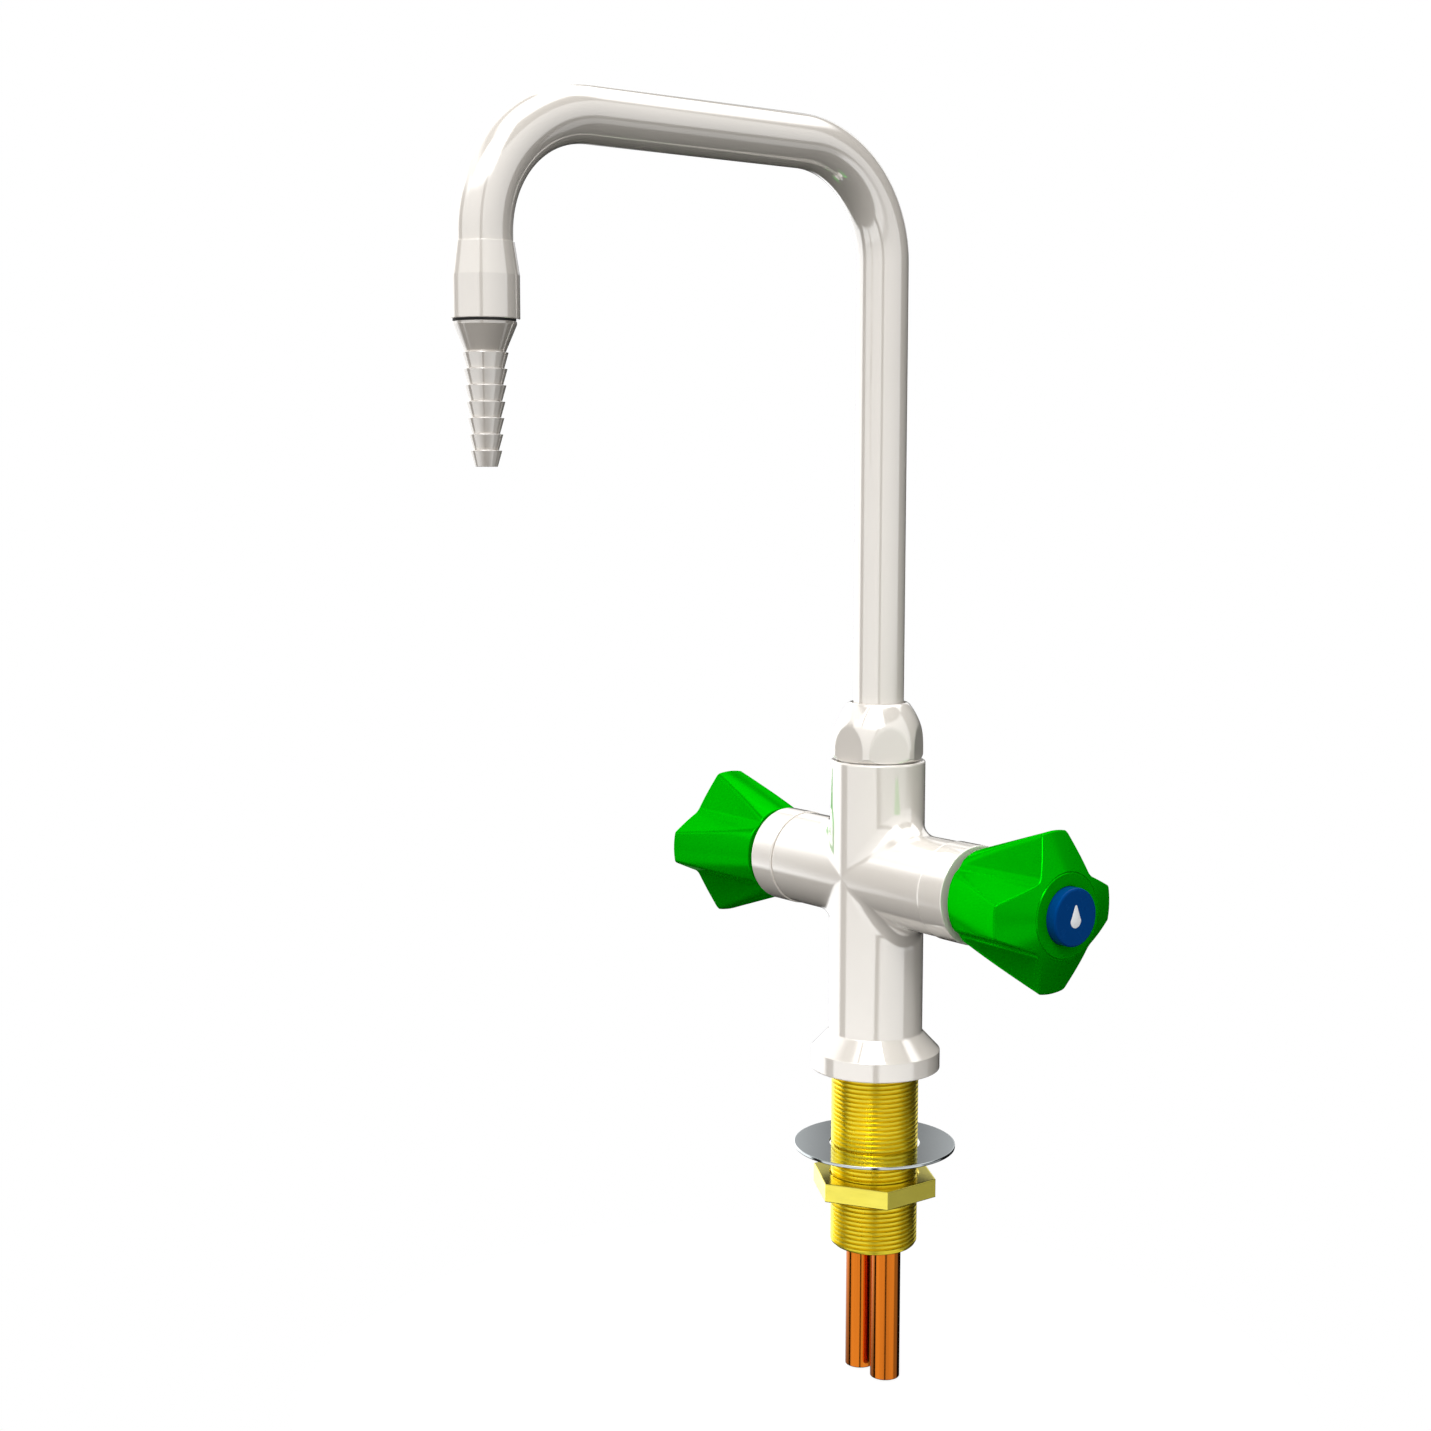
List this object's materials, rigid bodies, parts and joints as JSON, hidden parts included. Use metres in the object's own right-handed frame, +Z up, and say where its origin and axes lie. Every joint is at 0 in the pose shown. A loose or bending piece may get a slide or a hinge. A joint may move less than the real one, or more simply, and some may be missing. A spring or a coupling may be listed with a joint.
{
  "type": "laboratory mixer tap",
  "caption": "Bench-mounted laboratory mixer tap with a swivelling gooseneck spout, barbed hose nozzle, lobed hot and cold handles, threaded shank, backnut and copper tails.",
  "frame": {"origin": "centre of the flange underside, on the bench top, on the axis of the column and spout swivel", "axes": "+Z up along the column, +X along the cold valve barrel, the spout points to -Y at rest"},
  "size_m": [0.1708, 0.1793, 0.3979],
  "materials": {
    "white_gloss": "thick gloss white powder coat on brass",
    "white_nozzle": "gloss off-white coat on brass",
    "green_gloss": "gloss moulded plastic",
    "blue_gloss": "gloss moulded plastic",
    "red_gloss": "gloss moulded plastic",
    "brass": "turned bright brass",
    "brass_thread": "bright cut thread in brass",
    "brass_nut": "bright drawn brass",
    "copper": "drawn copper tube",
    "steel": "zinc-plated steel",
    "rubber": "matt black nitrile rubber",
    "nylon": "natural nylon"
  },
  "bodies": {
    "body": {"body": "white_gloss", "base_seal": "rubber", "shank": "brass_thread", "cold_tail": "copper", "hot_tail": "copper", "cold_tail_ferrule": "brass", "hot_tail_ferrule": "brass", "spout_nut": "white_gloss", "cold_bonnet": "brass", "cold_gasket": "rubber", "cold_collar": "white_gloss", "hot_bonnet": "brass", "hot_gasket": "rubber", "hot_collar": "white_gloss"},
    "spout": {"spout_tube": "white_gloss", "spout_ferrule": "brass", "spout_seals": "rubber", "slip_ring": "nylon", "outlet_socket": "white_gloss", "nozzle_seal": "rubber", "hose_nozzle": "white_nozzle"},
    "backnut": {"backnut": "brass_nut"},
    "bench_washer": {"bench_washer": "steel"},
    "cold_handle_set": {"cold_handle": "green_gloss", "cold_handle_screw": "steel", "cold_index": "blue_gloss", "cold_spindle": "brass", "cold_spindle_seals": "rubber", "cold_circlip": "steel"},
    "cold_piston_set": {"cold_piston": "brass", "cold_seat_washer": "rubber", "cold_washer_screw": "brass"},
    "hot_handle_set": {"hot_handle": "green_gloss", "hot_handle_screw": "steel", "hot_index": "red_gloss", "hot_spindle": "brass", "hot_spindle_seals": "rubber", "hot_circlip": "steel"},
    "hot_piston_set": {"hot_piston": "brass", "hot_seat_washer": "rubber", "hot_washer_screw": "brass"}
  },
  "joints": [
    {"name": "spout_swivel", "type": "hinge", "parent": "body", "child": "spout", "pos_m": [0, 0, 0.1], "axis": [0, 0, 1], "continuous": true},
    {"name": "cold_handle_turn", "type": "hinge", "parent": "body", "child": "cold_handle_set", "pos_m": [0, 0, 0.063], "axis": [1, 0, 0], "range_deg": [0, 540]},
    {"name": "cold_piston_lift", "type": "slide", "parent": "body", "child": "cold_piston_set", "axis": [1, 0, 0], "range_m": [0, 0.003]},
    {"name": "hot_handle_turn", "type": "hinge", "parent": "body", "child": "hot_handle_set", "pos_m": [0, 0, 0.063], "axis": [-1, 0, 0], "range_deg": [0, 540]},
    {"name": "hot_piston_lift", "type": "slide", "parent": "body", "child": "hot_piston_set", "axis": [-1, 0, 0], "range_m": [0, 0.003]},
    {"name": "nut_travel", "type": "slide", "parent": "body", "child": "backnut", "axis": [0, 0, 1], "range_m": [-0.0175, 0.025]},
    {"name": "washer_slide", "type": "slide", "parent": "backnut", "child": "bench_washer", "axis": [0, 0, 1], "range_m": [-0.0088, 0]}
  ],
  "couplings": [
    {"joint": "cold_piston_lift", "follows": "cold_handle_turn", "m_per_rad": 0.000318},
    {"joint": "hot_piston_lift", "follows": "hot_handle_turn", "m_per_rad": 0.000318}
  ]
}
